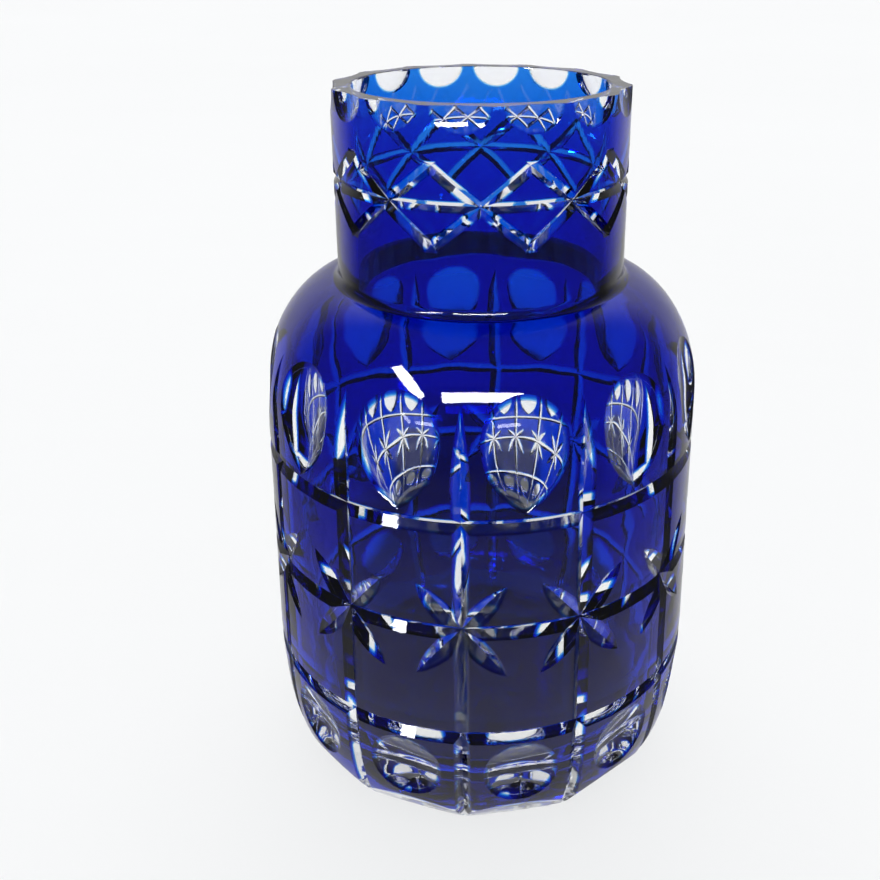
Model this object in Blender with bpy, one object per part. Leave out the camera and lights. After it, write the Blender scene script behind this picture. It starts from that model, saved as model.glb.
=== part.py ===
"""Cut crystal vase in cased glass, in metres, +Z up, standing on z = 0 with its axis on the Z axis.

A thick clear vessel carries a thin cobalt casing. Wheel cuts go through the casing into the clear
glass, so the casing is left as separate islands. Azimuth 0 is the front (-Y), growing towards +X.
"""

import math

import bmesh
import bpy
from mathutils import Vector

# ---------------------------------------------------------------- driving dimensions
HEIGHT = 0.250
NECK_RADIUS = 0.0503
NECK_FOOT = 0.1844          # height where the neck meets the shoulder
SHOULDER_RADIUS = 0.0777
SHOULDER_FOOT = 0.1443      # height where the shoulder runs into the body
SHOULDER_POWER = 1.9
BODY_RADIUS = 0.0790        # widest, at the top of the heel
HEEL_TOP = 0.0514
HEEL_POWER = 2.6
NECK_FILLET = 0.0035        # radius of the inside corner where the neck meets the shoulder
FILLET_TOP = NECK_FOOT + 0.90 * NECK_FILLET
FILLET_END = NECK_FOOT - 0.08 * NECK_FILLET    # where it runs smoothly into the shoulder
FOOT_RADIUS = 0.0630

WALL = 0.0070
FLOOR = 0.0140
CASING = 0.0011             # thickness of the cobalt layer
CASING_GAP = 0.0003         # clearance between the two glasses
CASING_FOOT = 0.0090        # the casing stops here, above the clear foot

SEGMENTS = 36               # round the vase
HAIRLINE = 0.000002         # edges shorter than this are closed up
FACET_PHASE = -3.1          # azimuth of one of the lathe's facet corners, clear of every cut's middle
CRUMB = 16                  # a loose part with fewer corners than this is cutting waste
PROUD = 0.0012              # how far every cutter stands out of the glass

BAYS = 12                   # repeats of the body pattern
BAY_PHASE = -4.7            # azimuth of the first vertical cut, degrees
BAY = 360.0 / BAYS

RING_HEIGHTS = (0.1260, 0.0873, 0.0450)
RING_DEPTH = 0.0025
RING_HALF_WIDTH = 0.0028

VERTICAL_TIP = 0.1655
VERTICAL_DEPTH = 0.0022     # below the upper ring cut
VERTICAL_DEEPEST = 0.0026   # between the windows
VERTICAL_FOOT = 0.0080      # below this it runs out towards the foot
VERTICAL_SLOPE = 1.3        # half width over depth

STAR_DEPTH = 0.0027
STAR_SLOPE = 1.65
STAR_POWER = 2.6            # above 2 keeps an arm wide until near its tips
STAR_HALF_WIDTH = 0.0150    # round the body
STAR_HALF_HEIGHT = 0.0172

WINDOW_BOTTOM = 0.1298
WINDOW_WIDEST = 0.1545
WINDOW_TOP = 0.1680
WINDOW_HALF_WIDTH = 0.0139
WINDOW_DEPTH = 0.0042
WINDOW_POINT = 2.6          # 2 is round at the bottom, 1 is a straight-sided point

THUMB_BOTTOM = 0.0150
THUMB_TOP = 0.0420
THUMB_HALF_WIDTH = 0.0132
THUMB_DEPTH = 0.0036

HEEL_FACET_TOP = (0.0759, 0.0135)     # radius and height at the middle of a heel facet
HEEL_FACET_BOTTOM = (0.0665, 0.0005)

BAND_REPEATS = 10
BAND_STEP = 360.0 / BAND_REPEATS
BAND_MIDDLE = 0.2200
BAND_TOP = 0.2320           # where the zigzag cuts meet above the middle line
BAND_BOTTOM = 0.2070
BAND_OVERRUN = 0.11         # how far a zigzag cut runs past its apexes, share of its length
BAND_DEPTH = 0.0020
BAND_SLOPE = 1.05
BAND_LINE_DEPTH = 0.0018
BAND_LINE_HALF_WIDTH = 0.0019

SCALLOPS = 14
SCALLOP_PHASE = 173.0       # azimuth of one scallop's middle, degrees
SCALLOP_HALF_WIDTH = 0.0097
SCALLOP_HEIGHT = 0.0085
SCALLOP_DEPTH = 0.0022


# ---------------------------------------------------------------- outer surface of the vase
def superellipse(share, power):
    """The other coordinate of a unit superellipse quadrant, with both coordinates from 0 to 1."""
    return max(0.0, 1.0 - share**power) ** (1.0 / power)


def rounded(share, height, inner, outer, power, up):
    """Radius and outward normal on a rounded quarter, share of the way from its widest part."""
    across = superellipse(share, power)
    radial = across ** (power - 1.0) / (outer - inner)
    axial = share ** (power - 1.0) / height
    normal = Vector((radial, up * axial)).normalized()
    return inner + (outer - inner) * across, normal


def surface(z):
    """Radius of the uncut outer surface at height z, and its outward normal as (radial, up)."""
    if z > FILLET_TOP:
        return NECK_RADIUS, Vector((1.0, 0.0))
    if z > FILLET_END:
        rise = (FILLET_TOP - z) / NECK_FILLET
        across = math.sqrt(1.0 - rise**2)
        return NECK_RADIUS + NECK_FILLET * (1.0 - across), Vector((across, rise))
    if z > SHOULDER_FOOT:
        height = NECK_FOOT - SHOULDER_FOOT
        share = (z - SHOULDER_FOOT) / height
        return rounded(share, height, NECK_RADIUS, SHOULDER_RADIUS, SHOULDER_POWER, 1.0)
    if z > HEEL_TOP:
        share = (z - HEEL_TOP) / (SHOULDER_FOOT - HEEL_TOP)
        return BODY_RADIUS + (SHOULDER_RADIUS - BODY_RADIUS) * share, Vector((1.0, 0.0))
    share = min(1.0, (HEEL_TOP - z) / HEEL_TOP)
    return rounded(share, HEEL_TOP, FOOT_RADIUS, BODY_RADIUS, HEEL_POWER, -1.0)


def frame_at(azimuth, z):
    """Surface point, outward normal and rightward side direction at an azimuth and a height."""
    angle = math.radians(azimuth)
    outward = Vector((math.sin(angle), -math.cos(angle), 0.0))
    side = Vector((math.cos(angle), math.sin(angle), 0.0))
    radius, normal = surface(z)
    point = outward * radius + Vector((0.0, 0.0, z))
    return point, outward * normal.x + Vector((0.0, 0.0, normal.y)), side


def rounded_heights(low, high, steps, widest_is_low):
    """Heights on a rounded quarter, closer together towards its flat end."""
    heights = []
    for step in range(1, steps):
        share = math.sin(0.5 * math.pi * step / steps)
        heights.append(low + (high - low) * share if widest_is_low else high - (high - low) * share)
    return heights


def offset_outline(depth, bottom):
    """Points (radius, z) of the outer surface moved inwards by depth, from the rim down to bottom."""
    shoulder = rounded_heights(SHOULDER_FOOT, NECK_FOOT, 6, True)
    heel = rounded_heights(0.0, HEEL_TOP, 6, False)
    body = (SHOULDER_FOOT, HEEL_TOP)
    points = [
        (NECK_RADIUS - depth, HEIGHT),
        offset_point(FILLET_TOP, depth),
        offset_point(FILLET_TOP - 0.55 * NECK_FILLET, depth),
        offset_point(FILLET_END, depth),
    ]
    for z in sorted([*shoulder, *body, *heel], reverse=True):
        if z > bottom:
            points.append(offset_point(z, depth))
    points.append(offset_point(bottom, depth))
    return points


def offset_point(z, depth):
    """The surface point at height z, moved inwards by depth along the normal."""
    radius, normal = surface(z)
    return radius - depth * normal.x, z - depth * normal.y


# ---------------------------------------------------------------- mesh helpers
def new_object(name, mesh_data):
    """Make a mesh object out of a bmesh."""
    mesh = bpy.data.meshes.new(name)
    mesh_data.to_mesh(mesh)
    mesh_data.free()
    obj = bpy.data.objects.new(name, mesh)
    bpy.context.scene.collection.objects.link(obj)
    return obj


def lathe(name, outline, segments=SEGMENTS, phase=FACET_PHASE):
    """Turn a closed outline of (radius, z) points round the Z axis into a solid."""
    mesh_data = bmesh.new()
    start = math.radians(phase)
    verts = [
        mesh_data.verts.new((math.sin(start) * radius, -math.cos(start) * radius, z))
        for radius, z in outline
    ]
    edges = [mesh_data.edges.new((a, b)) for a, b in zip(verts, verts[1:] + verts[:1])]
    bmesh.ops.spin(
        mesh_data,
        geom=verts + edges,
        cent=(0.0, 0.0, 0.0),
        axis=(0.0, 0.0, 1.0),
        angle=2.0 * math.pi,
        steps=segments,
        use_merge=True,
    )
    bmesh.ops.remove_doubles(mesh_data, verts=mesh_data.verts, dist=1e-6)
    axis_edges = [edge for edge in mesh_data.edges if not edge.link_faces]
    bmesh.ops.delete(mesh_data, geom=axis_edges, context="EDGES")
    bmesh.ops.recalc_face_normals(mesh_data, faces=mesh_data.faces)
    return new_object(name, mesh_data)


def mitre_section(depth, slope):
    """V section of a mitre cut, as (across, out) points from side to side."""
    half = (depth + PROUD) * slope
    return [(-half, PROUD), (0.0, -depth), (half, PROUD)]


def hollow_section(depth, curve, points):
    """Parabolic section of a ground hollow, curve being its out-of-plane rise per across squared."""
    half = math.sqrt((depth + PROUD) / curve)
    shares = [2.0 * n / (points - 1) - 1.0 for n in range(points)]
    return [(half * share, curve * (half * share) ** 2 - depth) for share in shares]


def add_cut(mesh_data, stations, closed=False):
    """Skin sections set along a path into one closed solid.

    A station is (point, normal, side, section); a section of None is a run-out to a single point.
    """
    rows = []
    for point, normal, side, section in stations:
        if section is None:
            rows.append([mesh_data.verts.new(point + normal * PROUD)])
        else:
            rows.append([
                mesh_data.verts.new(point + side * across + normal * out)
                for across, out in section
            ])
    pairs = list(zip(rows, rows[1:]))
    if closed:
        pairs.append((rows[-1], rows[0]))
    for low, high in pairs:
        skin_rows(mesh_data, low, high)
    if not closed:
        for end in (rows[0], rows[-1]):
            if len(end) > 1:
                mesh_data.faces.new(end)


def skin_rows(mesh_data, low, high):
    """Join two neighbouring sections, either of which may be a single point."""
    count = max(len(low), len(high))
    for n in range(count):
        corners = [
            low[n % len(low)],
            low[(n + 1) % len(low)],
            high[(n + 1) % len(high)],
            high[n % len(high)],
        ]
        mesh_data.faces.new(list(dict.fromkeys(corners)))


def cutter(name, mesh_data):
    """Finish a family of cuts as a hidden wire object for the Booleans."""
    bmesh.ops.recalc_face_normals(mesh_data, faces=mesh_data.faces)
    obj = new_object(name, mesh_data)
    obj.hide_render = True
    obj.display_type = "WIRE"
    return obj


def spread(low, high, count):
    """Evenly spaced values from low to high."""
    return [low + (high - low) * n / (count - 1) for n in range(count)]


def bay_azimuths(offset):
    """Azimuths of the body pattern's repeats, offset degrees from each vertical cut."""
    return [BAY_PHASE + BAY * n + offset for n in range(BAYS)]


# ---------------------------------------------------------------- families of cuts
def ring_cut(mesh_data, z, depth, half_width):
    """One V groove right round the vase, on the same facets as the lathe."""
    stations = []
    for n in range(SEGMENTS):
        point, normal, _ = frame_at(FACET_PHASE + 360.0 * n / SEGMENTS, z)
        up = Vector((0.0, 0.0, 1.0))
        stations.append((point, normal, up, mitre_section(depth, half_width / depth)))
    add_cut(mesh_data, stations, closed=True)


def ring_cuts():
    mesh_data = bmesh.new()
    for z in RING_HEIGHTS:
        ring_cut(mesh_data, z, RING_DEPTH, RING_HALF_WIDTH)
    ring_cut(mesh_data, BAND_MIDDLE, BAND_LINE_DEPTH, BAND_LINE_HALF_WIDTH)
    return cutter("cut_rings", mesh_data)


def vertical_depth(z):
    """Depth of a vertical cut: deepest between the windows, running out at its tip and its foot."""
    deepest = 0.5 * (RING_HEIGHTS[0] + SHOULDER_FOOT)
    if z < VERTICAL_FOOT:
        return VERTICAL_DEPTH * z / VERTICAL_FOOT
    if z < RING_HEIGHTS[0]:
        return VERTICAL_DEPTH
    if z < deepest:
        share = (z - RING_HEIGHTS[0]) / (deepest - RING_HEIGHTS[0])
        return VERTICAL_DEPTH + (VERTICAL_DEEPEST - VERTICAL_DEPTH) * share
    return VERTICAL_DEEPEST * (1.0 - ((z - deepest) / (VERTICAL_TIP - deepest)) ** 2)


def vertical_cuts():
    mesh_data = bmesh.new()
    run_out = VERTICAL_TIP + 0.009
    heights = [0.0030, VERTICAL_FOOT, 0.0180, 0.0340, HEEL_TOP, RING_HEIGHTS[0]]
    heights += spread(0.1360, VERTICAL_TIP + 0.0040, 4)
    for azimuth in bay_azimuths(0.0):
        stations = [(*frame_at(azimuth, 0.0), None)]
        for z in heights:
            point, normal, side = frame_at(azimuth, z)
            stations.append((point, normal, side, mitre_section(vertical_depth(z), VERTICAL_SLOPE)))
        stations.append((*frame_at(azimuth, run_out), None))
        add_cut(mesh_data, stations)
    return cutter("cut_verticals", mesh_data)


def straight_cut(mesh_data, start, end, depth_at, slope, shares):
    """A V cut that is straight on the unrolled surface, from start to end (azimuth, z)."""
    radius = surface(0.5 * (start[1] + end[1]))[0]
    run = math.radians(end[0] - start[0]) * radius
    rise = end[1] - start[1]
    lean = math.atan2(rise, run)
    stations = []
    for share in shares:
        azimuth = start[0] + (end[0] - start[0]) * share
        point, normal, side = frame_at(azimuth, start[1] + rise * share)
        across = Vector((0.0, 0.0, math.cos(lean))) - side * math.sin(lean)
        section = mitre_section(depth_at(share), slope) if 0.0 < share < 1.0 else None
        stations.append((point, normal, across, section))
    add_cut(mesh_data, stations)


def star_depth(share):
    """Leaf-shaped: deepest at the middle, no depth at the tips, a little past them above the glass."""
    reach = 1.12
    along = abs(reach * (2.0 * share - 1.0))
    return STAR_DEPTH * (1.0 - along**STAR_POWER) * (0.75 + 0.5 * along)


def star_cuts(direction):
    """One diagonal arm of every star, leaning right (1) or left (-1)."""
    mesh_data = bmesh.new()
    reach = 1.12
    turn = math.degrees(STAR_HALF_WIDTH / BODY_RADIUS) * reach * direction
    rise = STAR_HALF_HEIGHT * reach
    middle = RING_HEIGHTS[1]
    for azimuth in bay_azimuths(0.0):
        low = (azimuth - turn, middle - rise)
        high = (azimuth + turn, middle + rise)
        straight_cut(mesh_data, low, high, star_depth, STAR_SLOPE, spread(0.0, 1.0, 9))
    return cutter("cut_stars_right" if direction > 0 else "cut_stars_left", mesh_data)


def band_cuts(direction):
    """The zigzag's straight cuts leaning one way, from each lower apex to the next upper one."""
    mesh_data = bmesh.new()
    half_turn = BAND_STEP * (0.5 + BAND_OVERRUN) * direction
    rise = BAND_TOP - BAND_BOTTOM
    apex = BAND_OVERRUN / (1.0 + 2.0 * BAND_OVERRUN)
    shares = [0.0, *spread(apex, 1.0 - apex, 5), 1.0]
    for n in range(BAND_REPEATS):
        azimuth = BAND_STEP * n
        low = (azimuth - half_turn, BAND_BOTTOM - rise * BAND_OVERRUN)
        high = (azimuth + half_turn, BAND_TOP + rise * BAND_OVERRUN)
        straight_cut(mesh_data, low, high, lambda share: BAND_DEPTH, BAND_SLOPE, shares)
    return cutter("cut_band_right" if direction > 0 else "cut_band_left", mesh_data)


def hollow_cut(mesh_data, azimuth, heights, shape, points):
    """A ground hollow that follows the profile; shape(z) is its depth and half width as shares.

    The first and the last of the heights are where its ends rise clear of the glass.
    """
    stations = []
    for z in heights:
        point, normal, side = frame_at(azimuth, z)
        inside = heights[0] < z < heights[-1]
        section = hollow_section(*shape(z), points) if inside else None
        stations.append((point, normal, side, section))
    add_cut(mesh_data, stations)


def oval_shape(share, depth, half_width, radius):
    """Depth and section curve of an oval hollow, share of the way from its middle to its end."""
    return depth * (1.0 - share**2), depth / half_width**2 - 0.5 / radius


def clear_of(depth):
    """How far past its outline an oval hollow rises clear, as a share of its half height."""
    return math.sqrt(1.0 + PROUD / depth)


def window_shape(z):
    """Egg outline with its point down: round above the widest line, pointed below it."""
    if z > WINDOW_WIDEST:
        share = (z - WINDOW_WIDEST) / (WINDOW_TOP - WINDOW_WIDEST)
        return oval_shape(share, WINDOW_DEPTH, WINDOW_HALF_WIDTH, SHOULDER_RADIUS)
    share = (WINDOW_WIDEST - z) / (WINDOW_WIDEST - WINDOW_BOTTOM)
    width = 1.0 - share**WINDOW_POINT
    curve = WINDOW_DEPTH / (width * WINDOW_HALF_WIDTH**2) - 0.5 / SHOULDER_RADIUS
    return WINDOW_DEPTH * width, curve


def window_cuts():
    mesh_data = bmesh.new()
    half_height = WINDOW_TOP - WINDOW_WIDEST
    heights = [WINDOW_BOTTOM - PROUD, WINDOW_BOTTOM + PROUD]
    heights += spread(WINDOW_BOTTOM + 0.0040, WINDOW_WIDEST, 5)
    heights += [WINDOW_WIDEST + half_height * share for share in (0.5, 0.8, 0.98)]
    heights.append(WINDOW_WIDEST + half_height * clear_of(WINDOW_DEPTH))
    for azimuth in bay_azimuths(0.5 * BAY):
        hollow_cut(mesh_data, azimuth, heights, window_shape, 7)
    return cutter("cut_windows", mesh_data)


def thumb_shape(z):
    middle = 0.5 * (THUMB_BOTTOM + THUMB_TOP)
    share = (z - middle) / (THUMB_TOP - middle)
    return oval_shape(share, THUMB_DEPTH, THUMB_HALF_WIDTH, BODY_RADIUS)


def thumb_cuts():
    mesh_data = bmesh.new()
    middle = 0.5 * (THUMB_BOTTOM + THUMB_TOP)
    reach = (THUMB_TOP - middle) * clear_of(THUMB_DEPTH)
    heights = [middle + reach * share for share in (-1.0, -0.8, -0.45, 0.0, 0.45, 0.8, 1.0)]
    for azimuth in bay_azimuths(0.5 * BAY):
        hollow_cut(mesh_data, azimuth, heights, thumb_shape, 6)
    return cutter("cut_thumbprints", mesh_data)


def heel_facet_cuts():
    """A frustum's outside, one flat facet to a bay, with its corners at the vertical cuts."""
    (top_radius, top), (bottom_radius, bottom) = HEEL_FACET_TOP, HEEL_FACET_BOTTOM
    slope = (top_radius - bottom_radius) / (top - bottom)
    to_corner = 1.0 / math.cos(math.radians(0.5 * BAY))
    outside = 1.2 * BODY_RADIUS
    low = -0.0020
    high = top + 0.0030
    outline = [
        ((top_radius + slope * (high - top)) * to_corner, high),
        (outside, high),
        (outside, low),
        ((bottom_radius - slope * (bottom - low)) * to_corner, low),
    ]
    obj = lathe("cut_heel_facets", outline, BAYS, BAY_PHASE)
    obj.hide_render = True
    obj.display_type = "WIRE"
    return obj


def scallop_shape(z):
    share = min(0.0, z - HEIGHT) / SCALLOP_HEIGHT
    return oval_shape(share, SCALLOP_DEPTH, SCALLOP_HALF_WIDTH, NECK_RADIUS)


def scallop_cuts():
    mesh_data = bmesh.new()
    reach = SCALLOP_HEIGHT * clear_of(SCALLOP_DEPTH)
    heights = [HEIGHT - reach * share for share in (1.0, 0.8, 0.45, 0.0)]
    heights += [HEIGHT + PROUD, HEIGHT + 2.0 * PROUD]
    for n in range(SCALLOPS):
        azimuth = SCALLOP_PHASE + 360.0 * n / SCALLOPS
        hollow_cut(mesh_data, azimuth, heights, scallop_shape, 6)
    return cutter("cut_rim_scallops", mesh_data)


def tidy_edges(obj):
    """Close up the hairline edges that grazing cuts leave behind."""
    mesh_data = bmesh.new()
    mesh_data.from_mesh(obj.data)
    bmesh.ops.remove_doubles(mesh_data, verts=mesh_data.verts, dist=HAIRLINE)
    mesh_data.to_mesh(obj.data)
    mesh_data.free()


def carve(obj, tools):
    """Take every family of cuts out of an object at once and keep the result as its mesh."""
    modifier = obj.modifiers.new("cuts", "BOOLEAN")
    modifier.operation = "DIFFERENCE"
    modifier.operand_type = "COLLECTION"
    modifier.collection = tools
    modifier.solver = "EXACT"
    graph = bpy.context.evaluated_depsgraph_get()
    carved = bpy.data.meshes.new_from_object(obj.evaluated_get(graph))
    obj.modifiers.clear()
    obj.data = carved
    tidy_edges(obj)


# ---------------------------------------------------------------- the two glasses
def cavity_outline():
    """Points (radius, z) of the inside of the vessel, from the rim down to the floor's middle."""
    inner_neck = NECK_RADIUS - WALL
    inner_body = BODY_RADIUS - WALL - 0.0010
    shoulder_top = NECK_FOOT - WALL + 0.0005
    shoulder_foot = SHOULDER_FOOT - 0.0020
    floor_round = 0.0240
    points = [(inner_neck, HEIGHT), (inner_neck, shoulder_top)]
    for z in sorted(rounded_heights(shoulder_foot, shoulder_top, 5, True), reverse=True):
        share = (z - shoulder_foot) / (shoulder_top - shoulder_foot)
        points.append((inner_neck + (inner_body - inner_neck) * superellipse(share, 2.0), z))
    points.append((inner_body, shoulder_foot))
    floor_top = FLOOR + floor_round
    points.append((inner_body, floor_top))
    for z in rounded_heights(FLOOR, floor_top, 4, False):
        share = (floor_top - z) / floor_round
        points.append((inner_body - floor_round * (1.0 - superellipse(share, 2.0)), z))
    points.append((inner_body - floor_round, FLOOR))
    points.append((0.0, FLOOR))
    return points


def make_crystal():
    """The clear vessel: full size at the foot, set back under the casing everywhere above it."""
    bed = CASING + CASING_GAP
    outline = offset_outline(bed, CASING_FOOT - CASING_GAP)
    outline.append(offset_point(CASING_FOOT - CASING_GAP, 0.0))
    outline += [
        offset_point(z, 0.0)
        for z in rounded_heights(0.0, HEEL_TOP, 6, False)
        if z < CASING_FOOT - 0.0010
    ]
    outline += [(FOOT_RADIUS, 0.0), (0.0, 0.0)]
    return lathe("crystal_body", outline + cavity_outline()[::-1])


def make_casing():
    """The whole cobalt layer before it is cut."""
    outer = offset_outline(0.0, CASING_FOOT)
    inner = offset_outline(CASING, CASING_FOOT)
    return lathe("casing", outer + inner[::-1])


def loose_parts(obj):
    """Split an object into one new object for each connected part."""
    source = bmesh.new()
    source.from_mesh(obj.data)
    owner = {}
    groups = []
    for seed in source.verts:
        if seed in owner:
            continue
        group = [seed]
        owner[seed] = len(groups)
        for vert in group:
            for edge in vert.link_edges:
                other = edge.other_vert(vert)
                if other not in owner:
                    owner[other] = len(groups)
                    group.append(other)
        groups.append(group)
    for number, group in enumerate(groups):
        if len(group) < CRUMB:
            continue
        part = bmesh.new()
        copies = {vert: part.verts.new(vert.co) for vert in group}
        for face in source.faces:
            if owner[face.verts[0]] == number:
                part.faces.new([copies[vert] for vert in face.verts])
        yield new_object(f"island_{number}", part)
    source.free()


def island_name(obj):
    """Name a casing island by its height and, where it repeats, by its place round the vase."""
    corners = [Vector(corner) for corner in obj.bound_box]
    middle = sum(corners, Vector()) / len(corners)
    if math.hypot(middle.x, middle.y) < 0.5 * NECK_RADIUS:
        return "neck_collar" if middle.z > BAND_MIDDLE else "shoulder_casing"
    azimuth = math.degrees(math.atan2(middle.x, -middle.y))
    if middle.z > NECK_FOOT:
        kind = "neck_triangle_upper" if middle.z > BAND_MIDDLE else "neck_triangle_lower"
        number = round((azimuth - 0.5 * BAND_STEP) / BAND_STEP) % BAND_REPEATS
        return f"{kind}_{number + 1:02d}"
    if middle.z > RING_HEIGHTS[1]:
        kind = "body_panel_upper"
    elif middle.z > RING_HEIGHTS[2]:
        kind = "body_panel_lower"
    else:
        kind = "heel_panel"
    number = round((azimuth - BAY_PHASE - 0.5 * BAY) / BAY) % BAYS
    return f"{kind}_{number + 1:02d}"


# ---------------------------------------------------------------- materials and finish
def glass(name, colour, roughness):
    """A plain glass material in the part's colour."""
    material = bpy.data.materials.new(name)
    material.use_nodes = True
    shader = material.node_tree.nodes["Principled BSDF"]
    shader.inputs["Base Color"].default_value = (*colour, 1.0)
    shader.inputs["Roughness"].default_value = roughness
    shader.inputs["Metallic"].default_value = 0.0
    shader.inputs["IOR"].default_value = 1.54
    shader.inputs["Transmission Weight"].default_value = 1.0
    return material


def finish(obj, material):
    """Give an object its material and shade its round faces smooth between its cut edges."""
    obj.data.materials.clear()
    obj.data.materials.append(material)
    obj.data.shade_smooth()
    obj.data.set_sharp_from_angle(angle=math.radians(20.0))


def clear_scene():
    for obj in list(bpy.data.objects):
        bpy.data.objects.remove(obj, do_unlink=True)


def main():
    clear_scene()
    cutters = [
        ring_cuts(),
        vertical_cuts(),
        star_cuts(1),
        star_cuts(-1),
        window_cuts(),
        thumb_cuts(),
        heel_facet_cuts(),
        band_cuts(1),
        band_cuts(-1),
        scallop_cuts(),
    ]
    crystal = make_crystal()
    casing = make_casing()
    tools = bpy.data.collections.new("wheel_cuts")
    for obj in cutters:
        tools.objects.link(obj)
    carve(crystal, tools)
    carve(casing, tools)
    finish(crystal, glass("clear_crystal", (0.93, 0.95, 0.96), 0.02))
    cobalt = glass("cobalt_casing", (0.01, 0.06, 0.55), 0.03)
    for island in loose_parts(casing):
        island.name = island_name(island)
        island.data.name = island.name
        finish(island, cobalt)
    for obj in [casing, *cutters]:
        bpy.data.objects.remove(obj, do_unlink=True)


main()
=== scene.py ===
"""Looks of the cut crystal vase: a clear crystal vessel with cobalt casing islands fused on it.

Every piece is lathed and cut again here at a fine resolution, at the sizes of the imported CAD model.
The casing's back lies a hair inside the crystal, as two fused glasses have no air between them.
Azimuth 0 is the front (-Y), growing towards +X. Lengths are in metres, and slopes of V cuts are
half width over depth.
"""

import math

import bmesh
import bpy
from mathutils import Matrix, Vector


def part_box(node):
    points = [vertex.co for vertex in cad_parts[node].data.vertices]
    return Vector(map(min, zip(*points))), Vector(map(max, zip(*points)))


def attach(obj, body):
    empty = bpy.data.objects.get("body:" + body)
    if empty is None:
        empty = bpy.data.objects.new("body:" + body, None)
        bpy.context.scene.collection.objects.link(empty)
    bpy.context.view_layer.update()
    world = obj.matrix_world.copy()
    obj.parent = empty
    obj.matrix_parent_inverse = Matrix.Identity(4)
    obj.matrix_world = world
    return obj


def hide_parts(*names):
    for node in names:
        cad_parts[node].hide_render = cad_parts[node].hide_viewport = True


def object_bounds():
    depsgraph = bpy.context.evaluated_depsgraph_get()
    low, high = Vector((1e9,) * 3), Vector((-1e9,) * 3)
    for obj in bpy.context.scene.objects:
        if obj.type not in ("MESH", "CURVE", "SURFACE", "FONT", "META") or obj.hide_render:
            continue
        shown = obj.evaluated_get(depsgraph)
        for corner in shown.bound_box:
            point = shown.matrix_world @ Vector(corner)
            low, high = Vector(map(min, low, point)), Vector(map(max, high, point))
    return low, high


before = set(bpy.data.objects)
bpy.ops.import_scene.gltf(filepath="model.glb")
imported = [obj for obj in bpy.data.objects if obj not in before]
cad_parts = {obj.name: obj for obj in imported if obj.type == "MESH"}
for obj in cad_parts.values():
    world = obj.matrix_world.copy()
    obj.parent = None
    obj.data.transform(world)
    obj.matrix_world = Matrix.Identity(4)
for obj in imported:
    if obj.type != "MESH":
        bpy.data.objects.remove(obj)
CAD_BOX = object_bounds()


def gap_middle(upper, lower):
    """Height of the cut between two CAD nodes, one above the other."""
    return 0.5 * (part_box(upper)[0][2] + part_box(lower)[1][2])


# ---------------------------------------------------------------- sizes, from the CAD model
HEIGHT = CAD_BOX[1][2] - CAD_BOX[0][2]
BODY_RADIUS = 0.5 * min(CAD_BOX[1][0] - CAD_BOX[0][0], CAD_BOX[1][1] - CAD_BOX[0][1])
NECK_RADIUS = 0.5 * (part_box("neck_collar")[1][0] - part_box("neck_collar")[0][0])
SHOULDER_RADIUS = 0.984 * BODY_RADIUS
FOOT_RADIUS = 0.797 * BODY_RADIUS
NECK_FOOT = 0.7376 * HEIGHT
SHOULDER_FOOT = 0.5772 * HEIGHT
HEEL_TOP = 0.2056 * HEIGHT
SHOULDER_POWER = 1.9
HEEL_POWER = 2.6
NECK_FILLET = 0.0035
FILLET_TOP = NECK_FOOT + 0.90 * NECK_FILLET
FILLET_END = NECK_FOOT - 0.08 * NECK_FILLET    # where it runs smoothly into the shoulder

WALL = 0.0070               # at the neck
BODY_WALL_EXTRA = 0.0010    # how much thicker the wall is at the body
FLOOR = 0.0140
FLOOR_ROUND = 0.0240        # radius of the cavity where the wall meets the floor
CAVITY_SHOULDER_TOP = NECK_FOOT - WALL + 0.0005
CAVITY_SHOULDER_FOOT = SHOULDER_FOOT - 0.0020
LIP = 0.0006                # width of the polished edge inside the rim
CASING_THICKNESS = (        # at shares of the height
    (0.00, 0.00085),
    (0.50, 0.00085),
    (0.66, 0.00100),
    (0.74, 0.00090),
    (1.00, 0.00040),
)
CASING_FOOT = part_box("heel_panel_01")[0][2]
FUSED = 0.04                # share of the casing's thickness that lies inside the crystal

SEGMENTS = 240              # round the vase
ROUND_STEPS = 22            # steps on the rounded outside of the shoulder, and of the heel
FILLET_POINTS = 9
FILLET_TURN = (0.14, 1.37)  # angles round the neck fillet of its first and last points
OUTLINE_CLEARANCE = 0.0001  # no outline point lies closer than this above a lower edge
FOOT_CLEARANCE = 0.0003     # nor closer than this below the casing's foot
HOLLOW_POINTS = 21          # points across a ground hollow
PROUD = 0.0012              # how far the open side of a cutter stands out of the glass
CRUMB = 40                  # a loose part with fewer corners than this is cutting waste
CUT_EDGE = 14.0             # degrees; faces that meet at a sharper angle meet at a cut edge
LATHED_FACING = 0.5         # least cosine between a fused face's normal and the surface's

BAYS = 12                   # repeats of the body pattern
BAY_PHASE = -4.7            # azimuth of the first vertical cut, degrees
BAY = 360.0 / BAYS
FACET_PHASE = -3.1          # azimuth of one of the lathe's facet corners

RING_HEIGHTS = (
    gap_middle("shoulder_casing", "body_panel_upper_01"),
    gap_middle("body_panel_upper_01", "body_panel_lower_01"),
    gap_middle("body_panel_lower_01", "heel_panel_01"),
)
RING_DEPTH = 0.0025
RING_HALF_WIDTH = 0.0028

VERTICAL_TIP = 0.1655
VERTICAL_DEPTH = 0.0022     # below the upper ring cut
VERTICAL_DEEPEST = 0.0026   # between the windows
VERTICAL_FOOT = 0.0080      # below this it runs out towards the foot
VERTICAL_SLOPE = 1.3
VERTICAL_UPPER = 0.1340     # the first section above the upper ring cut
VERTICAL_LAST = VERTICAL_TIP + 0.0050   # the last section, which is clear of the glass
VERTICAL_END = VERTICAL_TIP + 0.0090

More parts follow.
